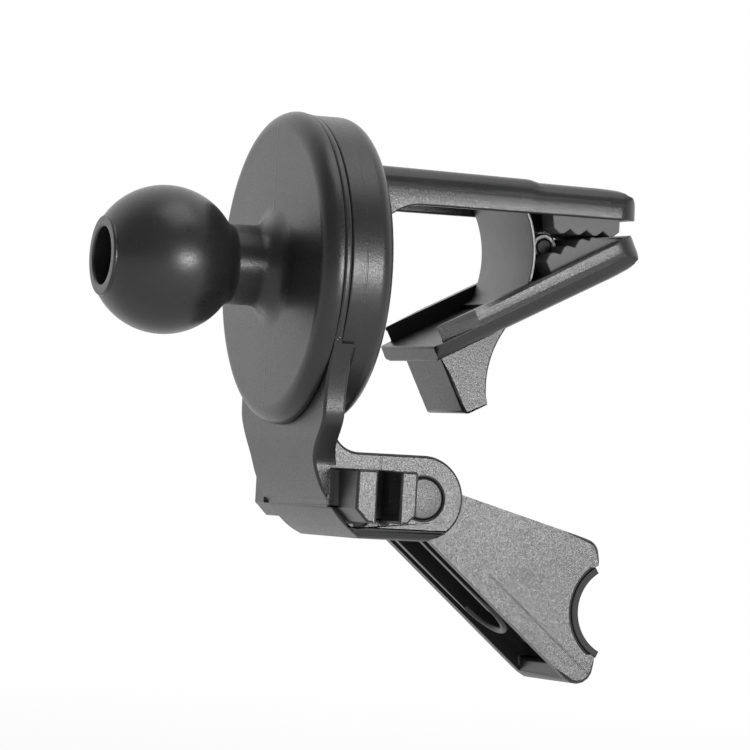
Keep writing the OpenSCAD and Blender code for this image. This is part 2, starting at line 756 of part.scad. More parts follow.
// Finger tab under the lower jaw: a wedge with a hollow back
module finger_tab() {
    tab_low = -under_t - tab_reach;
    end_x = tab_end_t - jaw_back;
    drop = tab_cove - tab_reach - over;
    cove_x = end_x + sqrt(tab_cove * tab_cove - drop * drop);
    root_x = cove_x - sqrt(over * (2 * tab_cove - over));
    intersection() {
        across(jaw_w) difference() {
            polygon(rounded([
                [-jaw_back, -floor_t - sunk, 0], [-jaw_back, tab_low, tab_edge],
                [end_x, tab_low, fine], [root_x, -under_t, 0], [root_x, -floor_t - sunk, 0]
            ]));
            translate([cove_x, tab_low - drop]) circle(tab_cove);
        }
        translate([0, -jaw_back - over, 0]) along_y(0, jaw_back) polygon([
            [-tab_root_w / 2, -floor_t], [tab_root_w / 2, -floor_t],
            [tab_end_w / 2, tab_low - over], [-tab_end_w / 2, tab_low - over]
        ]);
        translate([0, 0, tab_low - over]) linear_extrude(tab_reach + floor_t) polygon(rounded([
            [-tab_end_w / 2, -jaw_back, tab_edge], [tab_end_w / 2, -jaw_back, tab_edge],
            [tab_end_w / 2, 0, 0], [-tab_end_w / 2, 0, 0]
        ]));
    }
}

// Trough-shaped lower jaw with its finger tab and two hinge lugs
module lower_jaw() color(plastic) jaw_frame() difference() {
    union() {
        difference() {
            lower_jaw_solid();
            across(2 * trough_half) polygon(rounded([
                [-jaw_back - lip - over, over, 0], [jaw_front - tip_wall, over, 0],
                [jaw_front - tip_wall, -floor_t, trough_round], [-jaw_back - lip - over, -floor_t, 0]
            ]));
            both() translate([trough_half, -jaw_back, -floor_t])
                rotate([0, 0, -atan2(jaw_wall, mitre_len)])
                    translate([0, -2 * over, 0]) cube([4 * jaw_wall, mitre_len + 2 * over, under_t]);
        }
        finger_tab();
        both() along_x(lug_half - lug_side_w, lug_half) {
            circle(lug_r);
            translate([-lug_r, -floor_t - sunk]) square([2 * lug_r, floor_t + sunk]);
        }
    }
    rod_x(hinge_d, 2 * (lug_half + over), 0, 0);
}

// Steel pin of the jaw's hinge
module hinge_pin() color(steel) rod_x(hinge_d, 2 * lug_half, hinge_y, hinge_z);

// Middle line of the band spring, from the foot under the roof to the foot on the lower jaw's floor
function spring_path() =
    let (
        bow_y = hinge_y - lug_r - spring_gap - spring_t / 2 - spring_r,
        bow_z = hinge_z - bow_drop,
        roof_z = jaw_top(bow_y) - jaw_roof - seat - spring_t / 2,
        up = 62,
        down = -38,
        top = [bow_y, bow_z] + spring_r * [cos(up), sin(up)],
        low = [bow_y, bow_z] + spring_r * [cos(down), sin(down)],
        rise = [-sin(up), cos(up)],
        bend_at = top + rise * (roof_z - top[1]) / cos(up),
        along = [cos(jaw_tilt), sin(jaw_tilt)],
        across_jaw = [-sin(jaw_tilt), cos(jaw_tilt)],
        way = [sin(down), -cos(down)],
        low_t = (low - [hinge_y, hinge_z]) * across_jaw,
        foot_at = low + way * (low_t + floor_t - seat - spring_t / 2) / (-way * across_jaw),
        foot = foot_at - along * spring_foot
    )
    concat(
        [bend_at - [spring_foot, 0], bend_at - [spring_corner, 0], bend_at - rise * spring_corner],
        [for (i = [0:curve_steps])
            let (a = up + (down - up) * i / curve_steps) [bow_y, bow_z] + spring_r * [cos(a), sin(a)]],
        [foot_at - way * spring_corner, foot_at - along * spring_corner, foot]
    );

// Bowed steel band that pushes the jaws' tails apart
module band_spring() color(steel) across(spring_w) polygon(strip(spring_path(), spring_t));

// Teeth along a line of the length l, pointing down from y = 0
module teeth(l, n) polygon(concat(
    [[l, tooth_h], [0, tooth_h], [0, 0]],
    [for (i = [0:n - 1], step = [[0.38, -tooth_h], [0.62, -tooth_h], [1, 0]])
        [(i + step[0]) * l / n, step[1]]]
));

// Toothed rubber pad in the upper jaw, notched round the hinge lugs
module upper_pad() color(rubber) {
    base_z = pad_low_z + tooth_h;
    difference() {
        across(2 * pad_half) {
            polygon(rounded([
                [pad_start_y - pad_lean, jaw_top(pad_start_y + pad_len) - jaw_roof - seat, fine],
                [pad_start_y, base_z, 0],
                [pad_start_y + pad_len, base_z, 0],
                [pad_start_y + pad_len, jaw_top(pad_start_y + pad_len) - jaw_roof - seat, trough_round]
            ]));
            translate([pad_start_y, base_z]) teeth(pad_len, round(pad_len / tooth_pitch));
        }
        translate([-lug_half - clear, hinge_y - pad_len, 0])
            cube([2 * (lug_half + clear), pad_len + lug_r + clear, 2 * jaw_top_z]);
    }
}

// Toothed rubber pad in the lower jaw, cut flat where it meets the upper one
module lower_pad() color(rubber) {
    from = -lug_r - clear;
    to = jaw_front - tip_wall - seat;
    base_t = pad_proud - rim_drop - tooth_h;
    difference() {
        jaw_frame() difference() {
            across(2 * pad_half) {
                polygon(rounded([
                    [from, base_t, 0], [from, seat - floor_t, fine],
                    [to, seat - floor_t, trough_round], [to, base_t, 0]
                ]));
                translate([to, base_t]) rotate(180) teeth(to - from, round((to - from) / tooth_pitch));
            }
            translate([-lug_half - clear, -pad_len, -floor_t])
                cube([2 * (lug_half + clear), pad_len + lug_r + clear, 2 * jaw_top_z]);
        }
        translate([-jaw_w, 0, pad_low_z - pad_gap]) cube([2 * jaw_w, 2 * tip_y, 2 * jaw_top_z]);
    }
}

ball_plate();
centre_screw();
screw_washer();
friction_washer();
swivel_bracket();
support_leg();
leg_pin();
foot_strip();
clip_body();
lower_jaw();
hinge_pin();
band_spring();
upper_pad();
lower_pad();
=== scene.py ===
"""Air vent mount with a ball: the visible pieces, their finishes and the studio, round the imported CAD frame.

Sizes are in millimetres inside the shape functions and turned into metres where a mesh is made.
-Y runs out through the ball, +Y into the vent, +Z is up, and the origin is the ball's centre."""

from math import acos, asin, atan2, cos, degrees, hypot, pi, radians, sin, sqrt, tan

import bmesh
import bpy
import numpy as np
from bpy.props import FloatProperty, FloatVectorProperty, PointerProperty
from mathutils import Matrix, Vector


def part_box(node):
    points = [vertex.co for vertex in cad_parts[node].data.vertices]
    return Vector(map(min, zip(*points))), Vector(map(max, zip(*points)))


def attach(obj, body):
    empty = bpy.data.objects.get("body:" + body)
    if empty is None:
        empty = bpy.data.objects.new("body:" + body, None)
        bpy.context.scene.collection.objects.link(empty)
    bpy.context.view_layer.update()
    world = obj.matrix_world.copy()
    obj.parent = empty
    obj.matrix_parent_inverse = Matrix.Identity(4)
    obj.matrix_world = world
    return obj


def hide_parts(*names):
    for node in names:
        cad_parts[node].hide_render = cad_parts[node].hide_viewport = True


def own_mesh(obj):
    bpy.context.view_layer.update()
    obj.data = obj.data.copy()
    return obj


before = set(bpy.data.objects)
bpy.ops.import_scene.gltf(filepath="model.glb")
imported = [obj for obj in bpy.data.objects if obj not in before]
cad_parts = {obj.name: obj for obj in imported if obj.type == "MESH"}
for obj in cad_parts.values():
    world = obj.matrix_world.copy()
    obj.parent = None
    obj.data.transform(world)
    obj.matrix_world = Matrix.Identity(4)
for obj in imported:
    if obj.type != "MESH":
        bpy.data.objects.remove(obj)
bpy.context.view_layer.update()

bl_info = {
    "name": "Vent mount with a ball",
    "version": (1, 0, 0),
    "blender": (4, 5, 0),
    "location": "View3D > Sidebar > Vent mount",
    "description": "Builds the pieces, finishes and studio of an air vent mount",
    "category": "Object",
}

MM = 0.001
TURNS = 192
ARC = 12


def extent(node, axis):
    """Lowest and highest value of a CAD node along an axis, in metres."""
    low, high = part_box(node)
    return low[axis], high[axis]


def length(name, about, default, low=0.0, high=0.2):
    """A property that holds a length in metres."""
    return FloatProperty(name=name, description=about, default=default, min=low, max=high, unit="LENGTH", precision=5)


def colour(name, about, default):
    """A property that holds a colour."""
    return FloatVectorProperty(name=name, description=about, default=default, size=3, min=0, max=1, subtype="COLOR")


def share(name, about, default, high=1.0):
    """A property that holds a number from 0 up."""
    return FloatProperty(name=name, description=about, default=default, min=0, max=high)


PLATE_R = extent("ball_plate", 0)[1]
PLATE_END = extent("ball_plate", 1)[1]


class VentMountBall(bpy.types.PropertyGroup):
    """Sizes of the ball, its neck and its plate."""

    ball_r: length("Ball radius", "Radius of the ball", 0.0085)
    nose_r: length("Nose ring radius", "Outer radius of the ring round the bore's mouth", 0.0046)
    nose_rise: length("Nose rise", "How far that ring stands out of the ball", 0.00035)
    bore_r: length("Bore radius", "Radius of the bore", 0.0033)
    bore_depth: length("Bore depth", "Depth of the wide bore", 0.015)
    driver_r: length("Driver bore radius", "Radius of the bore round the screw's head", 0.003)
    neck_r: length("Neck radius", "Radius of the neck", 0.0046)
    ball_fillet: length("Ball fillet", "Fillet between ball and neck", 0.0012)
    neck_fillet: length("Neck fillet", "Fillet between neck and plate", 0.0026)
    plate_y: length("Plate distance", "Distance of the plate's front face from the ball's centre", 0.01296)
    plate_r: length("Plate radius", "Radius of the plate", PLATE_R)
    plate_t: length("Plate thickness", "Thickness of the plate", 0.00224)
    plate_round: length("Plate rounding", "Rounding of the plate's front edge", 0.00205)
    spigot_r: length("Spigot radius", "Radius of the spigot", 0.008)
    spigot_end: length("Spigot end", "Distance of the spigot's end from the ball's centre", PLATE_END)
    flats: length("Flats", "Half of the width across the spigot's flats", 0.0067)
    ledge: length("Flats' start", "Distance of the flats' start from the ball's centre", 0.0162)
    screw_seat: length("Screw seat", "Distance of the seat under the washer from the ball's centre", 0.01415)
    screw_hole: length("Screw hole", "Radius of the screw's hole", 0.0015)


class VentMountSpring(bpy.types.PropertyGroup):
    """Sizes of the band spring."""

    half: length("Half width", "Half of the strip's width", extent("band_spring", 0)[1])
    thick: length("Thickness", "Thickness of the strip", 0.0004)
    bow: length("Bow radius", "Radius of the bow at the middle of the strip", 0.012)
    bow_y: length("Bow distance", "Distance of the bow's centre from the ball's centre", 0.0304)
    bow_z: length("Bow height", "Height of the bow's centre", 0.003)
    foot: length("Foot", "Length of each foot", 0.0014)
    floor: length("Floor", "Distance of the lower jaw's floor from the hinge's axis", 0.00433)


class VentMountEdges(bpy.types.PropertyGroup):
    """Roundings of the moulded edges."""

    clip: length("Clip", "Rounding of the clip body's edges", 0.0002)
    jaw: length("Jaw", "Rounding of the lower jaw's edges", 0.0002)
    bracket: length("Bracket", "Rounding of the swivel bracket's edges", 0.0003)
    leg: length("Leg", "Rounding of the leg's edges", 0.0004)
    pad: length("Pads", "Rounding of the rubber pads' edges", 0.00012)
    metal: length("Metal", "Rounding of the screw's edges", 0.00006)
    jaw_step: length("Jaw step", "Depth of the shallow step in the upper jaw's top", 0.0003)


class VentMountFinish(bpy.types.PropertyGroup):
    """Colours and surface values of the finishes."""

    plastic: colour("Plastic", "Black moulded plastic", (0.017, 0.017, 0.0175))
    plastic_rough: share("Plastic roughness", "Roughness of the moulded plastic", 0.34)
    gloss: share("Plastic gloss", "Specular level of the moulded plastic", 0.62)
    grain: length("Grain", "Depth of the moulded grain", 0.000014)
    grain_size: length("Grain size", "Size of the moulded grain", 0.0002)
    rubber: colour("Rubber", "Rubber of the toothed pads", (0.16, 0.16, 0.161))
    foot_rubber: colour("Foot rubber", "Rubber of the foot and of the friction ring", (0.026, 0.026, 0.026))
    spring: colour("Spring steel", "Rolled steel of the band spring", (0.17, 0.17, 0.173))
    zinc: colour("Plated steel", "Plated steel of screw, washer and pin", (0.48, 0.48, 0.485))


class VentMountStage(bpy.types.PropertyGroup):
    """Values of the studio."""

    floor_z: FloatProperty(name="Floor height", description="Height of the floor", default=-0.064, unit="LENGTH")
    floor_colour: colour("Floor", "Colour of the floor", (0.8, 0.8, 0.8))
    key_power: share("Key power", "Power of the soft lamp on the right, in watts", 15.0, 100)
    top_power: share("Top power", "Power of the soft lamp overhead, in watts", 2.0, 100)
    dark_side: share("Dark side", "Level of the room in front of the object", 0.2)


def polar(centre, radius, start, end, steps):
    """Arc in a plane: centre + radius * (cos a, sin a), with a going evenly from start to end in degrees."""
    a = np.radians(np.linspace(start, end, steps + 1))
    return np.asarray(centre) + radius * np.stack([np.cos(a), np.sin(a)], -1)


def filleted(corners, steps=ARC):
    """Closed outline through corners (a, b, radius). At each corner an arc of its radius touches both sides:
    its centre lies on the bisector, radius / sin(half the angle) away, and the arc turns from side to side."""
    c = np.asarray(corners, float)
    at, r = c[:, :2], c[:, 2:]
    u, v = np.roll(at, 1, 0) - at, np.roll(at, -1, 0) - at
    u, v = (w / np.linalg.norm(w, axis=1, keepdims=True) for w in (u, v))
    half = np.arccos(np.clip((u * v).sum(1, keepdims=True), -1, 1)) / 2
    middle = (u + v) / np.maximum(np.linalg.norm(u + v, axis=1, keepdims=True), 1e-9)
    centre = at + middle * r / np.sin(half)
    a, b = at + u * r / np.tan(half) - centre, at + v * r / np.tan(half) - centre
    start = np.arctan2(a[:, 1], a[:, 0])
    turn = np.arctan2(a[:, 0] * b[:, 1] - a[:, 1] * b[:, 0], (a * b).sum(1))
    angle = start[:, None] + turn[:, None] * np.linspace(0, 1, steps + 1)
    points = centre[:, None] + r[:, None] * np.stack([np.cos(angle), np.sin(angle)], -1)
    return distinct(points.reshape(-1, 2))


def distinct(outline):
    """The outline without points that lie on the one before them."""
    gap = np.linalg.norm(outline - np.roll(outline, 1, 0), axis=1)
    return outline[gap > 1e-6]


def new_object(name, mesh, sharp=30):
    """An object for a mesh, smooth but for edges that turn by more than the angle sharp."""
    mesh.shade_smooth()
    mesh.set_sharp_from_angle(angle=radians(sharp))
    obj = bpy.data.objects.new(name, mesh)
    bpy.context.scene.collection.objects.link(obj)
    return obj


def surface(name, points, around=False, along=False, caps=False, sharp=30):
    """Object over a grid of points[i, j] in millimetres, with a quad between each four neighbours.
    around closes j and along closes i; caps adds a face on the first and on the last row. Doubles are merged
    and all faces are turned outwards."""
    rows, cols = points.shape[:2]
    i, j = np.meshgrid(np.arange(rows - (not along)), np.arange(cols - (not around)), indexing="ij")
    nexti, nextj = (i + 1) % rows, (j + 1) % cols
    quads = np.stack([i * cols + j, nexti * cols + j, nexti * cols + nextj, i * cols + nextj], -1)
    faces = quads.reshape(-1, 4).tolist()
    if caps:
        ring = np.arange(cols)
        faces += [ring.tolist(), (ring[::-1] + (rows - 1) * cols).tolist()]
    mesh = bpy.data.meshes.new(name)
    mesh.from_pydata((points.reshape(-1, 3) * MM).tolist(), [], faces)
    shape = bmesh.new()
    shape.from_mesh(mesh)
    bmesh.ops.remove_doubles(shape, verts=shape.verts, dist=1e-7)
    bmesh.ops.dissolve_degenerate(shape, dist=1e-8, edges=shape.edges)
    bmesh.ops.recalc_face_normals(shape, faces=shape.faces)
    if shape.calc_volume(signed=True) < 0:
        bmesh.ops.reverse_faces(shape, faces=shape.faces)
    shape.to_mesh(mesh)
    shape.free()
    return new_object(name, mesh, sharp)


def lathed(name, profile, axis="Y", centre=(0.0, 0.0), closed=True, flats=None):
    """Profile (radius, distance along the axis) turned once round the axis: (r cos t, d, r sin t).
    flats = (half width, start) cuts X back to the half width for all points that lie beyond the start."""
    t = np.linspace(0, 2 * pi, TURNS, endpoint=False)
    r, d = profile[:, :1], profile[:, 1:2]
    first, second, depth = r * np.cos(t), r * np.sin(t), d + 0 * t
    if flats:
        half, start = flats
        cut = np.clip(first, -half, half)
        kept = depth <= start + 1e-9
        ledge = int(np.argmax(~kept[:, 0]))
        first = np.concatenate([first[:ledge], cut[ledge - 1 : ledge], np.where(kept, first, cut)[ledge:]])
        second, depth = (np.concatenate([g[:ledge], g[ledge - 1 : ledge], g[ledge:]]) for g in (second, depth))
    if axis == "Y":
        points = np.stack([first + centre[0], depth, second + centre[1]], -1)
    else:
        points = np.stack([depth, first + centre[0], second + centre[1]], -1)
    return surface(name, points, around=True, along=closed)


def extruded(name, outline, half, edge):
    """Closed outline (y, z) carried from X = -half to half. Near each end it shrinks along its normals by
    edge * (1 - cos a) while X grows by edge * sin a, so both rims are rounded."""
    forward = np.roll(outline, -1, 0) - np.roll(outline, 1, 0)
    normal = np.stack([forward[:, 1], -forward[:, 0]], -1)
    normal /= np.linalg.norm(normal, axis=1, keepdims=True)
    area = (outline[:, 0] * np.roll(outline[:, 1], -1) - outline[:, 1] * np.roll(outline[:, 0], -1)).sum()
    normal *= np.sign(area)
    a = np.radians(np.linspace(0, 90, 6))
    inset, x = edge * (1 - np.cos(a)), half - edge + edge * np.sin(a)
    inset, x = np.concatenate([inset[::-1], inset]), np.concatenate([-x[::-1], x])
    flat = outline[None] - inset[:, None, None] * normal[None]
    points = np.concatenate([np.broadcast_to(x[:, None, None], flat.shape[:2] + (1,)), flat], -1)
    return surface(name, points, around=True, caps=True)


def ring_profile(inner, outer, start, end, edge):
    """Closed profile of a flat ring with rounded edges."""
    return filleted([(inner, start, edge), (outer, start, edge), (outer, end, edge), (inner, end, edge)], 4)


def rod_profile(radius, half, edge):
    """Profile of a rod from pole to pole, with rounded ends."""
    ends = polar((radius - edge, half - edge), edge, 90, 0, 6)
    return np.concatenate([[[0, half]], ends, ends[::-1] * [1, -1], [[0, -half]]])


def edge_shares(mesh, width, sharp):
    """1 for each edge that is rounded by the width, and else 0: its faces meet at more than the angle sharp, and
    there is room for the width at both ends. Along a chain of sharp edges the room is set by the edges that cross
    it and by the chain's own radius, edge / |sum of the two unit ways|; elsewhere all edges count."""
    shape = bmesh.new()
    shape.from_mesh(mesh)
    hard = np.array([e.calc_face_angle(0) > radians(sharp) for e in shape.edges])
    shape.free()
    ends = np.empty(len(mesh.edges) * 2, int)
    mesh.edges.foreach_get("vertices", ends)
    ends = ends.reshape(-1, 2)
    co = np.empty(len(mesh.vertices) * 3)
    mesh.vertices.foreach_get("co", co)
    way = np.diff(co.reshape(-1, 3)[ends], axis=1)[:, 0]
    size = np.linalg.norm(way, axis=1)
    way /= np.maximum(size, 1e-12)[:, None]
    count = len(mesh.vertices)
    crossing, chained, bend = np.full(count, np.inf), np.full(count, np.inf), np.zeros((count, 3))
    for side, sign in ((0, 1), (1, -1)):
        np.minimum.at(crossing, ends[~hard, side], size[~hard])
        np.minimum.at(chained, ends[hard, side], size[hard])
        np.add.at(bend, ends[hard, side], sign * way[hard])
    chain = np.bincount(ends[hard].ravel(), minlength=count) == 2
    bend = np.maximum(np.linalg.norm(bend, axis=1), 1e-6)
    limit = 0.45 * np.minimum(crossing, chained)
    limit[chain] = np.minimum(0.45 * crossing, 0.9 * chained / bend)[chain]
    return (hard & (limit[ends].min(1) >= width)).astype(float)


def softened(name, node, edge, rework=None, segments=3):
    """A copy of a CAD node's mesh, with its triangles merged to whole faces and its sharp edges rounded."""
    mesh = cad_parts[node].data.copy()
    mesh.name = name
    mesh.materials.clear()
    shape = bmesh.new()
    shape.from_mesh(mesh)
    bmesh.ops.remove_doubles(shape, verts=shape.verts, dist=1e-7)
    bmesh.ops.dissolve_degenerate(shape, dist=1e-7, edges=shape.edges)
    bmesh.ops.dissolve_limit(
        shape, angle_limit=radians(0.5), verts=shape.verts, edges=shape.edges, use_dissolve_boundaries=False
    )
    if rework:
        rework(shape)
    shape.to_mesh(mesh)
    shape.free()
    obj = new_object(name, mesh, 32)
    bevel = obj.modifiers.new("rounded edges", "BEVEL")
    bevel.width = edge
    bevel.segments = segments
    bevel.limit_method = "WEIGHT"
    bevel.use_clamp_overlap = False
    shares = mesh.attributes.new("bevel_weight_edge", "FLOAT", "EDGE")
    shares.data.foreach_set("value", edge_shares(mesh, edge, 32))
    even = obj.modifiers.new("even shading", "WEIGHTED_NORMAL")
    even.keep_sharp = True
    even.weight = 80
    return obj


def settled(obj, body, slot, finish, *nodes):
    """Gives a finished piece its material and its body, and hides the CAD nodes that it stands for. The slot is not
    used.
    """
    obj.data.materials.clear()
    obj.data.materials.append(finish)
    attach(obj, body)
    if nodes:
        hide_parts(*nodes)
    return obj


class Field:
    """A value that varies over a surface. Sums, differences, products, quotients and powers add Math nodes."""

    def __init__(self, finish, socket):
        self.finish, self.socket = finish, socket

    def _math(self, operation, *values):
        return self.finish.node("ShaderNodeMath", {"operation": operation}, *values)

    def __add__(self, other):
        return self._math("ADD", self, other)

    def __radd__(self, other):
        return self._math("ADD", other, self)

    def __sub__(self, other):
        return self._math("SUBTRACT", self, other)

    def __rsub__(self, other):
        return self._math("SUBTRACT", other, self)

    def __mul__(self, other):
        return self._math("MULTIPLY", self, other)

    def __rmul__(self, other):
        return self._math("MULTIPLY", other, self)

    def __truediv__(self, other):
        return self._math("DIVIDE", self, other)

    def __rtruediv__(self, other):
        return self._math("DIVIDE", other, self)

    def __pow__(self, other):
        return self._math("POWER", self, other)

    def __abs__(self):
        return self._math("ABSOLUTE", self)

    def __mod__(self, other):
        return self._math("FLOORED_MODULO", self, other)

    def rise(self, low, high):
        """0 below low, 1 above high, with a smooth way between."""
        settings = {"interpolation_type": "SMOOTHSTEP"}
        return self.finish.node("ShaderNodeMapRange", settings, self, low, high, 0.0, 1.0)

    def line(self, at, width):
        """1 on a thin line where the value is at, 0 further away than the width."""
        return 1 - abs(self - at).rise(width * 0.25, width)

    def within(self, low, high, soft=0.05):
        """1 between low and high, 0 outside."""
        return self.rise(low, low + soft) * (1 - self.rise(high - soft, high))


class Finish:
    """A material, with one method that adds its nodes."""

    def __init__(self, name):
        self.material = bpy.data.materials.new(name)
        self.material.use_nodes = True
        self.tree = self.material.node_tree
        self.tree.nodes.clear()
        place = self.node("ShaderNodeTexCoord", {}, output="Object")
        self.place = self.node("ShaderNodeVectorMath", {"operation": "SCALE"}, Vector=place, Scale=1 / MM)
        parts = self.node("ShaderNodeSeparateXYZ", {}, self.place, output=None)
        self.x, self.y, self.z = (Field(self, parts.outputs[k]) for k in range(3))

    def node(self, kind, settings, *values, output=0, **named):
        """Adds a node: its settings first, then its sockets by number or by name, as values or links."""
        node = self.tree.nodes.new(kind)
        for key, value in settings.items():
            setattr(node, key, value)
        for key, value in [*enumerate(values), *named.items()]:
            socket = node.inputs[key if isinstance(key, int) else key.replace("_", " ")]
            if isinstance(value, Field):
                self.tree.links.new(value.socket, socket)
            else:
                socket.default_value = value
        return node if output is None else Field(self, node.outputs[output])

    def noise(self, size, detail=2.0, rough=0.5, stretch=(1, 1, 1)):
        """Smooth noise with features of that size in millimetres, stretched along the axes."""
        place = self.node("ShaderNodeMapping", {}, self.place, Scale=tuple(1 / (size * s) for s in stretch))
        return self.node("ShaderNodeTexNoise", {}, Vector=place, Scale=1.0, Detail=detail, Roughness=rough)

    def cells(self, size):
        """Distance to the nearest of scattered points, a cell's size in millimetres apart."""
        return self.node("ShaderNodeTexVoronoi", {"feature": "F1"}, Vector=self.place, Scale=1 / size)

    def mix(self, factor, first, second):
        """Colour between two, by a factor."""
        first, second = ((*c, 1.0) if not isinstance(c, Field) else c for c in (first, second))
        settings = {"data_type": "RGBA", "clamp_factor": True}
        node = self.node("ShaderNodeMix", settings, output=None)
        for socket, value in ((node.inputs[0], factor), (node.inputs[6], first), (node.inputs[7], second)):
            if isinstance(value, Field):
                self.tree.links.new(value.socket, socket)
            else:
                socket.default_value = value
        return Field(self, node.outputs[2])

    def bump(self, height, distance, strength=1.0):
        """Normal of a surface that stands up by height times distance, in metres."""
        return self.node("ShaderNodeBump", {}, Strength=strength, Distance=distance, Height=height)

    def finished(self, **sockets):
        """Closes the material with a Principled BSDF that has these sockets."""
        shader = self.node("ShaderNodeBsdfPrincipled", {}, **sockets)
        self.node("ShaderNodeOutputMaterial", {}, shader, output=None)
        return self.material


def tone(rgb, by):
    """A colour made lighter or darker by a factor."""
    return tuple(min(1.0, c * by) for c in rgb)


def moulded(name, lines=None, rough=None, light=1.0):
    """Black plastic from a spark-eroded mould: fine soft grain, a trace of mottling and thin parting lines.
    lines takes the finish and gives a field that is 1 on each raised line. The lines are raised by the bump, and
    their colour is painted lighter as a painted highlight."""
    values = bpy.context.scene.vent_mount_finish
    f = Finish(name)
    size = values.grain_size / MM
    grain = f.noise(size, 1.5, 0.6)
    pits = f.cells(size * 1.7)
    mottle = f.noise(6.0, 3.0, 0.55)
    scuff = f.noise(2.2, 4.0, 0.7, (1, 3, 1)).rise(0.58, 0.75)
    # light above 1 is painted light: a lighter copy of the one black plastic, for pieces that catch more light.
    base = tone(values.plastic, light)
    body = f.mix(mottle.rise(0.3, 0.7), tone(base, 0.88), tone(base, 1.12))
    body = f.mix(scuff * 0.25, body, tone(base, 1.5))
    level = values.plastic_rough if rough is None else rough
    roughness = level + (grain - 0.5) * 0.32 + (mottle - 0.5) * 0.06 + scuff * 0.04
    height = grain * 0.7 + pits * 0.3
    if lines:
        raised_line_and_glint = lines(f)
        height = height * (1 - raised_line_and_glint * 0.7) + raised_line_and_glint * 1.3
        # Painted highlight: the raised lines are made lighter in colour, for the light that they catch.
        body = f.mix(raised_line_and_glint * 0.35, body, tone(base, 1.8))
    normal = f.bump(height, values.grain)
    return f.finished(Base_Color=body, Roughness=roughness, Specular_IOR_Level=values.gloss, Normal=normal)


def rubbery(name, colour, rough=0.62):
    """Matt rubber: close, shallow grain and faint dust in patches."""
    f = Finish(name)
    grain = f.noise(0.16, 2.0, 0.6)
    dust = f.noise(1.4, 4.0, 0.65).rise(0.45, 0.8)
    body = f.mix(dust * 0.5, tone(colour, 0.92), tone(colour, 1.25))
    roughness = rough + (grain - 0.5) * 0.2 + dust * 0.06
    normal = f.bump(grain, 0.000012)
    return f.finished(Base_Color=body, Roughness=roughness, Normal=normal)


def metallic(name, colour, rough, streak=(12, 1, 1), depth=0.000004):
    """Bare metal with fine drawn streaks, and cloudy places that are a little duller."""
    f = Finish(name)
    streaks = f.noise(0.06, 2.0, 0.6, streak)
    cloud = f.noise(2.5, 3.0, 0.6)
    body = f.mix(cloud.rise(0.3, 0.75), tone(colour, 0.86), tone(colour, 1.1))
    roughness = rough + (streaks - 0.5) * 0.14 + (cloud - 0.5) * 0.12
    normal = f.bump(streaks, depth)
    return f.finished(Base_Color=body, Metallic=1.0, Roughness=roughness, Normal=normal)


def plate_lines(f):
    """The parting line of the ball's mould, down the middle plane."""
    return f.x.line(0.0, 0.16) * (1 - f.y.rise(14.9, 15.2))


def clip_lines(f):
    """The parting line round the disc, with the short marks of the mould beside it."""
    marks = (f.node("ShaderNodeMath", {"operation": "ARCTAN2"}, f.z, f.x) * 17.7 % 1.15).line(0.5, 0.22)
    return (f.y.line(18.0, 0.14) + marks * f.y.within(17.6, 18.4, 0.15) * 0.4) * (1 - f.y.rise(19.5, 19.8))


def bracket_lines(f):
    """The parting line down the outer face of each ear."""
    return f.y.line(23.8, 0.14) * abs(f.x).within(10.1, 10.6)


def leg_lines(f):
    """The line on each side of the leg, parallel to its open edge."""
    along = (f.y - 39.06) * 0.7645 - (f.z + 33.86) * 0.6448
    across = (f.y - 39.06) * 0.6448 + (f.z + 33.86) * 0.7645
    return across.line(0.0, 0.13) * along.within(-0.2, 17.2, 0.3)


def jaw_lines(f):
    """The crease down the middle of the finger tab."""
    return f.x.line(0.0, 0.16) * (1 - f.z.rise(-7.5, -7.2))


class PieceOperator:
    """What all of these operators share."""

    bl_options = {"REGISTER", "UNDO"}

    def execute(self, context):
        """Makes the piece, and raises what goes wrong."""
        self.make(context.scene)
        return {"FINISHED"}


class VENTMOUNT_OT_ball_and_plate(PieceOperator, bpy.types.Operator):
    """Ball, neck, plate and spigot in one turned piece"""

    bl_idname = "vent_mount.ball_and_plate"
    bl_label = "Ball and plate"

    def make(self, scene):
        s = {key: getattr(scene.vent_mount_ball, key) / MM for key in VentMountBall.__annotations__}
        ball, neck, fillet = s["ball_r"], s["neck_r"], s["ball_fillet"]
        nose_on_ball = -sqrt(ball**2 - s["nose_r"] ** 2)
        nose_y = nose_on_ball - s["nose_rise"]
        foot = np.array([neck + fillet, sqrt((ball + fillet) ** 2 - (neck + fillet) ** 2)])
        touch = foot * ball / (ball + fillet)
        back = s["plate_y"] + s["plate_t"]
        mouth = nose_y + s["bore_depth"]
        fine, edge, end = 0.25, 0.12, s["spigot_end"]
        rim = s["plate_round"]
        start = degrees(atan2(touch[1] - foot[1], touch[0] - foot[0])) + 360
        profile = np.concatenate([
            polar((s["bore_r"] + fine, nose_y + fine), fine, 180, 270, 6),
            polar((s["nose_r"] - fine, nose_y + fine), fine, 270, 360, 6),
            polar((0, 0), ball, degrees(atan2(nose_on_ball, s["nose_r"])), degrees(atan2(touch[1], touch[0])), 60),
            polar(foot, fillet, start, 180, 12),
            polar((neck + s["neck_fillet"], s["plate_y"] - s["neck_fillet"]), s["neck_fillet"], 180, 90, 16),
            polar((s["plate_r"] - rim, s["plate_y"] + rim), rim, 270, 360, 20),
            polar((s["plate_r"] - edge, back - edge), edge, 0, 90, 3),
            [(s["spigot_r"], back), (s["spigot_r"], s["ledge"])],
            polar((s["spigot_r"] - edge, end - edge), edge, 0, 90, 3),
            [(s["screw_hole"], end), (s["screw_hole"], s["screw_seat"]), (s["driver_r"], s["screw_seat"])],
            [(s["driver_r"], mouth), (s["bore_r"], mouth)],
        ])
        obj = lathed("ball_and_plate", profile, flats=(s["flats"], s["ledge"]))
        settled(obj, "clip", "ball_plastic", moulded("ball plastic", plate_lines, rough=0.33), "ball_plate")


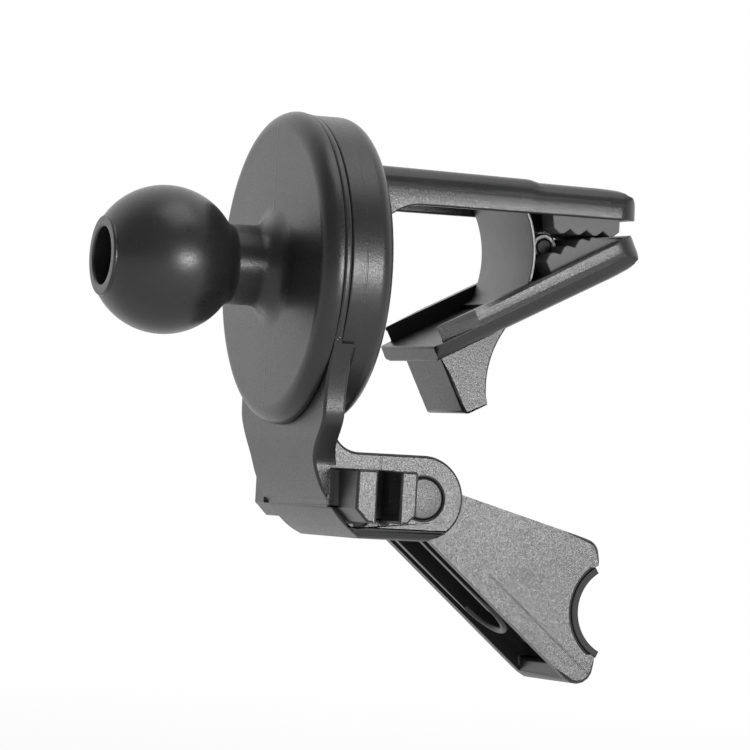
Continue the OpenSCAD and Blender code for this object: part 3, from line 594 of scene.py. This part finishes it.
class VENTMOUNT_OT_screw_and_washers(PieceOperator, bpy.types.Operator):
    """Centre screw, its washer and the friction ring"""

    bl_idname = "vent_mount.screw_and_washers"
    bl_label = "Screw and washers"

    def make(self, scene):
        values = scene.vent_mount_finish
        screw = softened("cross_head_screw", "centre_screw", scene.vent_mount_edges.metal)
        settled(screw, "clip", "screw_steel", metallic("plated screw", values.zinc, 0.3), "centre_screw")
        y0, y1 = (v / MM for v in extent("screw_washer", 1))
        r = extent("screw_washer", 0)[1] / MM
        washer = lathed("flat_washer", ring_profile(1.55, r, y0, y1, 0.08))
        settled(washer, "clip", "washer_steel", metallic("plated washer", values.zinc, 0.34), "screw_washer")
        y0, y1 = (v / MM for v in extent("friction_washer", 1))
        ring = lathed("friction_ring", ring_profile(10.0, 13.5, y0, y1, 0.12))
        settled(ring, "clip", "friction_rubber", rubbery("friction rubber", values.foot_rubber), "friction_washer")


class VENTMOUNT_OT_bracket(PieceOperator, bpy.types.Operator):
    """Swivel bracket with its ears and finger fins"""

    bl_idname = "vent_mount.bracket"
    bl_label = "Swivel bracket"

    def make(self, scene):
        obj = softened("bracket_moulding", "swivel_bracket", scene.vent_mount_edges.bracket)
        # The bracket's plastic is painted 1.1 times lighter, as painted light.
        finish = moulded("bracket plastic", bracket_lines, light=1.1)
        settled(obj, "bracket", "bracket_plastic", finish, "swivel_bracket")


class VENTMOUNT_OT_leg(PieceOperator, bpy.types.Operator):
    """Folding leg with its pin and the rubber in its foot"""

    bl_idname = "vent_mount.leg"
    bl_label = "Folding leg"

    def make(self, scene):
        values = scene.vent_mount_finish
        leg = softened("folding_leg", "support_leg", scene.vent_mount_edges.leg)
        # The leg's plastic is painted 1.2 times lighter, as painted light.
        settled(leg, "leg", "leg_plastic", moulded("leg plastic", leg_lines, light=1.2), "support_leg")
        (_, y0, z0), (half, y1, z1) = (np.array(c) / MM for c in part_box("leg_pin"))
        rod = rod_profile((y1 - y0) / 2, half, 0.2)
        pin = lathed("leg_pivot", rod, "X", ((y0 + y1) / 2, (z0 + z1) / 2), closed=False)
        settled(pin, "leg", "pin_plastic", moulded("pin plastic", rough=0.36), "leg_pin")
        inner = polar((55.8, -37.6), 5.25, 243, 123, 40)
        outer = polar((55.8, -37.6), 6.09, 123, 243, 40)
        half = extent("foot_strip", 0)[1] / MM
        strip = extruded("foot_rubber", np.concatenate([outer, inner]), half, 0.15)
        settled(strip, "leg", "foot_rubber", rubbery("foot rubber", values.foot_rubber), "foot_strip")


def stepped_top(shape):
    """Lowers the upper jaw's top beyond a shallow step: by depth * s(t), where s = t t (3 - 2 t) along the step
    and the share of the height above the jaw's side, so that the rims stay."""
    depth = bpy.context.scene.vent_mount_edges.jaw_step
    start, end, side, top = 0.0413, 0.0429, 0.0098, 0.0118
    for y in np.linspace(start, end, 5):
        everything = [*shape.verts, *shape.edges, *shape.faces]
        bmesh.ops.bisect_plane(shape, geom=everything, plane_co=(0, y, 0), plane_no=(0, 1, 0), dist=1e-7)
    co = np.array([v.co for v in shape.verts])
    t = np.clip((co[:, 1] - start) / (end - start), 0, 1)
    up = np.clip((co[:, 2] - side) / (top - side), 0, 1)
    drop = depth * t * t * (3 - 2 * t) * up * (co[:, 1] > 0.0217)
    for vert, dz in zip(shape.verts, drop):
        vert.co.z -= dz


# Each jaw in its own plane, in millimetres: a point on the jaw's line, the line's tilt in degrees, the side its crown
# is on, the heights of rim, crown and roof above that line, the crown's fall, the share of the wall that was flat,
# and the ways along the line where the wall starts, where the trough ends and where the nose starts and ends.
UPPER_WALL = {
    "at": (0.0, 0.0), "tilt": 0.0, "side": 1, "rim": 7.85, "crown": 12.63, "roof": 10.45, "fall": 0.0185,
    "flat": 0.376, "start": 21.65, "trough_end": 53.75, "nose": (50.2, 55.4),
}
LOWER_WALL = {
    "at": (45.1, 4.3), "tilt": 27.1, "side": -1, "rim": 2.43, "crown": 6.2, "roof": 4.5, "fall": 0.0,
    "flat": 0.4, "start": -19.0, "trough_end": 8.35, "nose": (4.6, 9.8),
}
WALL_ROWS = (0.14, 0.24, 0.34, 0.44, 0.54, 0.64, 0.74, 0.84, 0.92)


def rounded_walls(shape, wall):
    """Gives a jaw's flat side walls one round profile. With h the share of the way from rim to crown, the side now
    lies at half - bulge + bulge * (1 - h^p)^(1 / p), where it was straight up to h = flat and an ellipse beyond. With
    t the share of the way along the nose, the crown comes down by drop * t t h."""
    half, bulge, trough, drop, power = 9.1, 2.1, 8.05, 0.45, 2.7
    tilt = radians(wall["tilt"])
    at = np.array(wall["at"])
    along, across = np.array([cos(tilt), sin(tilt)]), wall["side"] * np.array([-sin(tilt), cos(tilt)])

    def local():
        co = np.array([v.co for v in shape.verts]) / MM
        return co, (co[:, 1:] - at) @ along, (co[:, 1:] - at) @ across

    def cut(place, normal, least_x):
        co, way, _ = local()
        fits = (way >= wall["start"]) & (abs(co[:, 0]) >= least_x)
        shape.verts.index_update()
        faces = [f for f in shape.faces if all(fits[v.index] for v in f.verts)]
        parts = {*faces, *(e for f in faces for e in f.edges), *(v for f in faces for v in f.verts)}
        spot = (0, *(place * MM))
        bmesh.ops.bisect_plane(shape, geom=list(parts), plane_co=spot, plane_no=(0, *normal), dist=1e-7)

    height = wall["crown"] - 52.5 * wall["fall"] * (wall["side"] > 0) - wall["rim"]
    for row in WALL_ROWS:
        cut(at + across * (wall["rim"] + row * height), across, 6.8)
    for way in np.linspace(wall["nose"][0], wall["nose"][1] - 2.6, 4):
        cut(at + along * way, along, 0.0)
    co, way, up = local()
    h = np.clip((up - wall["rim"]) / (wall["crown"] - wall["fall"] * way - wall["rim"]), 0, 1)
    was = np.sqrt(1 - np.clip((h - wall["flat"]) / (1 - wall["flat"]), 0, 1) ** 2)
    outer = (abs(co[:, 0]) > trough) | (up > wall["roof"]) | (way > wall["trough_end"])
    outer &= (way >= wall["start"]) & (up > wall["rim"]) & (abs(abs(co[:, 0]) - half + bulge) < bulge + 0.02)
    dx = bulge * ((1 - h**power) ** (1 / power) - was) * abs(co[:, 0]) / half * outer
    t = np.clip((way - wall["nose"][0]) / (wall["nose"][1] - wall["nose"][0]), 0, 1)
    down = drop * t**2 * h * (way >= wall["start"])
    move = np.column_stack([np.sign(co[:, 0]) * dx, -down[:, None] * across]) * MM
    for vert, by in zip(shape.verts, move):
        vert.co += Vector(by)


def upper_jaw_form(shape):
    """The step in the upper jaw's top, and its round walls."""
    stepped_top(shape)
    rounded_walls(shape, UPPER_WALL)


def lower_jaw_form(shape):
    """The lower jaw's round walls."""
    rounded_walls(shape, LOWER_WALL)


class VENTMOUNT_OT_clip(PieceOperator, bpy.types.Operator):
    """Disc and upper jaw"""

    bl_idname = "vent_mount.clip"
    bl_label = "Disc and upper jaw"

    def make(self, scene):
        obj = softened("disc_and_upper_jaw", "clip_body", scene.vent_mount_edges.clip, upper_jaw_form)
        settled(obj, "clip", "clip_plastic", moulded("clip plastic", clip_lines), "clip_body")


class VENTMOUNT_OT_jaw(PieceOperator, bpy.types.Operator):
    """Lower jaw with its finger tab and hinge pin"""

    bl_idname = "vent_mount.jaw"
    bl_label = "Lower jaw"

    def make(self, scene):
        jaw = softened("lower_jaw_moulding", "lower_jaw", scene.vent_mount_edges.jaw, lower_jaw_form)
        settled(jaw, "jaw", "jaw_plastic", moulded("jaw plastic", jaw_lines), "lower_jaw")
        (_, y0, z0), (half, y1, z1) = (np.array(c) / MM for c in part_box("hinge_pin"))
        rod = rod_profile((y1 - y0) / 2, half, 0.15)
        pin = lathed("jaw_pivot", rod, "X", ((y0 + y1) / 2, (z0 + z1) / 2), closed=False)
        # The hinge pin's plated steel is darkened to 0.06 of its colour. This is painted shade, so the pin stays dark
        # in the gap behind the spring.
        steel = metallic("drawn steel", tone(scene.vent_mount_finish.zinc, 0.06), 0.5)
        settled(pin, "jaw", "pin_steel", steel, "hinge_pin")


class VENTMOUNT_OT_spring(PieceOperator, bpy.types.Operator):
    """Bowed steel band between the jaws"""

    bl_idname = "vent_mount.spring"
    bl_label = "Band spring"

    def make(self, scene):
        s = {key: getattr(scene.vent_mount_spring, key) / MM for key in VentMountSpring.__annotations__}
        up, down, tilt = radians(30), radians(-18), radians(27.1)
        hinge = np.array([45.1, 4.3])
        bow = np.array([s["bow_y"], s["bow_z"]])
        roof = extent("band_spring", 2)[1] / MM - s["thick"] / 2 - 0.04
        arc = polar(bow, s["bow"], degrees(up), degrees(down), 48)
        bend = arc[0] + np.array([-sin(up), cos(up)]) * (roof - arc[0, 1]) / cos(up)
        along, across = np.array([cos(tilt), sin(tilt)]), np.array([-sin(tilt), cos(tilt)])
        way = np.array([sin(down), -cos(down)])
        low = (arc[-1] - hinge) @ across
        foot = arc[-1] + way * (low + s["floor"] - 0.1 - s["thick"] / 2) / -(way @ across)
        top_end, low_end = bend - [s["foot"], 0], foot - along * s["foot"]
        bends = [
            filleted([(*top_end, 0), (*bend, 2.0), (*arc[0], 0)], 8)[1:-1],
            filleted([(*arc[-1], 0), (*foot, 2.0), (*low_end, 0)], 8)[1:-1],
        ]
        path = np.concatenate([[top_end], bends[0], arc, bends[1], [low_end]])
        forward = np.gradient(path, axis=0)
        normal = np.stack([-forward[:, 1], forward[:, 0]], -1)
        normal *= s["thick"] / 2 / np.linalg.norm(normal, axis=1, keepdims=True)
        obj = extruded("bowed_band", np.concatenate([path + normal, (path - normal)[::-1]]), s["half"], 0.12)
        steel = metallic("rolled steel", scene.vent_mount_finish.spring, 0.44, (14, 1, 1))
        settled(obj, "clip", "spring_steel", steel, "band_spring")
        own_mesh(obj)


class VENTMOUNT_OT_pads(PieceOperator, bpy.types.Operator):
    """Toothed rubber pads of both jaws"""

    bl_idname = "vent_mount.pads"
    bl_label = "Toothed pads"

    def make(self, scene):
        edge, colour = scene.vent_mount_edges.pad, scene.vent_mount_finish.rubber
        upper = softened("toothed_pad_upper", "upper_pad", edge)
        settled(upper, "clip", "pad_rubber", rubbery("upper pad rubber", colour), "upper_pad")
        lower = softened("toothed_pad_lower", "lower_pad", edge)
        settled(lower, "jaw", "lower_pad_rubber", rubbery("lower pad rubber", colour), "lower_pad")


CAMERA_RIGHT = Vector((0.36375654, 0.92992135, 0.05410609))
CAMERA_UP = Vector((-0.00229225, -0.05719147, 0.9983606))
CAMERA_BACK = Vector((0.93149124, -0.36328422, -0.01867216))


def soft_lamp(name, turn, lift, distance, size, power):
    """A square lamp that looks at the object's middle: turn from -Y towards +X, and lift above the floor plane,
    both in degrees."""
    middle = Vector((0, 0.02, -0.01))
    way = Vector((cos(radians(lift)) * sin(radians(turn)), -cos(radians(lift)) * cos(radians(turn)), sin(radians(lift))))
    lamp = bpy.data.lights.new(name, "AREA")
    lamp.shape = "RECTANGLE"
    lamp.size, lamp.size_y = size
    lamp.energy = power
    obj = bpy.data.objects.new(name, lamp)
    obj.matrix_world = Matrix.Translation(middle + way * distance) @ way.to_track_quat("Z", "Y").to_matrix().to_4x4()
    obj.visible_camera = False
    bpy.context.scene.collection.objects.link(obj)


class VENTMOUNT_OT_stage(PieceOperator, bpy.types.Operator):
    """Camera, lamps, room and floor"""

    bl_idname = "vent_mount.stage"
    bl_label = "Studio"

    def make(self, scene):
        s = scene.vent_mount_stage
        camera = bpy.data.cameras.new("camera")
        camera.lens, camera.sensor_width = 253.04, 36.0
        camera.clip_start, camera.clip_end = 0.01, 50.0
        obj = bpy.data.objects.new("camera", camera)
        turn = Matrix((CAMERA_RIGHT, CAMERA_UP, CAMERA_BACK)).transposed().to_4x4()
        obj.matrix_world = Matrix.Translation((0.567663, -0.194879, -0.023032)) @ turn
        scene.collection.objects.link(obj)
        scene.camera = obj
        scene.view_settings.view_transform = "Standard"
        soft_lamp("lamp on the right", 107, -9, 0.9, (0.4, 0.46), s.key_power)
        soft_lamp("lamp overhead", 120, 72, 0.9, (0.6, 0.6), s.top_power)
        self.room(scene, s.dark_side)
        self.floor(scene, s)

    def room(self, scene, dark):
        """White behind the object and darker in front of it, by the direction's share of the view's way; the
        camera sees white all round."""
        world = bpy.data.worlds.new("studio")
        scene.world = world
        world.use_nodes = True
        tree = world.node_tree
        tree.nodes.clear()
        new, link = tree.nodes.new, tree.links.new
        place, dot, ramp = new("ShaderNodeTexCoord"), new("ShaderNodeVectorMath"), new("ShaderNodeMapRange")
        dot.operation = "DOT_PRODUCT"
        dot.inputs[1].default_value = (-CAMERA_BACK.x, -CAMERA_BACK.y, 0.0)
        link(place.outputs["Generated"], dot.inputs[0])
        ramp.interpolation_type = "SMOOTHSTEP"
        for socket, value in zip(list(ramp.inputs)[1:5], (-0.35, 0.55, dark, 1.15)):
            socket.default_value = value
        link(dot.outputs["Value"], ramp.inputs[0])
        room, white, mix, path = (
            new("ShaderNodeBackground"), new("ShaderNodeBackground"), new("ShaderNodeMixShader"), new("ShaderNodeLightPath"),
        )
        link(ramp.outputs[0], room.inputs["Strength"])
        for background in (room, white):
            background.inputs["Color"].default_value = (1, 1, 1, 1)
        link(path.outputs["Is Camera Ray"], mix.inputs[0])
        link(room.outputs[0], mix.inputs[1])
        link(white.outputs[0], mix.inputs[2])
        link(mix.outputs[0], new("ShaderNodeOutputWorld").inputs[0])

    def floor(self, scene, s):
        """A flat floor, whose light for the camera is mostly plain white, with the object's shadow kept."""
        side = np.array([-20.0, 20.0]) / MM
        x, y = np.meshgrid(side, side, indexing="ij")
        mesh = bpy.data.meshes.new("floor")
        corners = np.stack([x, y, 0 * x + s.floor_z / MM], -1).reshape(-1, 3) * MM
        mesh.from_pydata(corners.tolist(), [], [(0, 2, 3, 1)])
        floor = bpy.data.objects.new("floor", mesh)
        scene.collection.objects.link(floor)
        f = Finish("floor paper")
        fibre = f.noise(1.2, 4.0, 0.6)
        colour = f.mix(fibre, tone(s.floor_colour, 0.985), s.floor_colour)
        paper = f.node("ShaderNodeBsdfDiffuse", {}, Color=colour)
        glow = f.node("ShaderNodeEmission", {}, Color=(1, 1, 1, 1), Strength=1.0)
        path = f.node("ShaderNodeLightPath", {}, output=None)
        away = (f.x * f.x + f.y * f.y) ** 0.5
        seen = Field(f, path.outputs["Is Camera Ray"]) * (0.9 + 0.1 * away.rise(120, 420))
        beside = (0 - f.x).rise(45, 85)
        seen = seen + Field(f, path.outputs["Is Glossy Ray"]) * (0.3 + 0.7 * beside)
        mixed = f.node("ShaderNodeMixShader", {}, seen, paper, glow)
        f.node("ShaderNodeOutputMaterial", {}, mixed, output=None)
        mesh.materials.append(f.material)


class VENTMOUNT_PT_pieces(bpy.types.Panel):
    """Lists the pieces and their sizes"""

    bl_label = "Vent mount"
    bl_space_type = "VIEW_3D"
    bl_region_type = "UI"
    bl_category = "Vent mount"

    def draw(self, context):
        for operator in OPERATORS:
            self.layout.operator(operator.bl_idname)
        for name, group in GROUPS.items():
            box = self.layout.box()
            for key in group.__annotations__:
                box.prop(getattr(context.scene, name), key)


GROUPS = {
    "vent_mount_ball": VentMountBall,
    "vent_mount_spring": VentMountSpring,
    "vent_mount_edges": VentMountEdges,
    "vent_mount_finish": VentMountFinish,
    "vent_mount_stage": VentMountStage,
}
OPERATORS = (
    VENTMOUNT_OT_stage,
    VENTMOUNT_OT_ball_and_plate,
    VENTMOUNT_OT_screw_and_washers,
    VENTMOUNT_OT_bracket,
    VENTMOUNT_OT_leg,
    VENTMOUNT_OT_clip,
    VENTMOUNT_OT_jaw,
    VENTMOUNT_OT_spring,
    VENTMOUNT_OT_pads,
)
CLASSES = (*GROUPS.values(), *OPERATORS, VENTMOUNT_PT_pieces)


def register():
    """Registers the classes and hangs their sizes on the scene."""
    for one in CLASSES:
        bpy.utils.register_class(one)
    for name, group in GROUPS.items():
        setattr(bpy.types.Scene, name, PointerProperty(type=group))


def unregister():
    """Takes everything back."""
    for name in GROUPS:
        delattr(bpy.types.Scene, name)
    for one in reversed(CLASSES):
        bpy.utils.unregister_class(one)


def main():
    """Makes the stage and all pieces."""
    register()
    for operator in OPERATORS:
        group, name = operator.bl_idname.split(".")
        getattr(getattr(bpy.ops, group), name)()


if __name__ == "__main__":
    main()
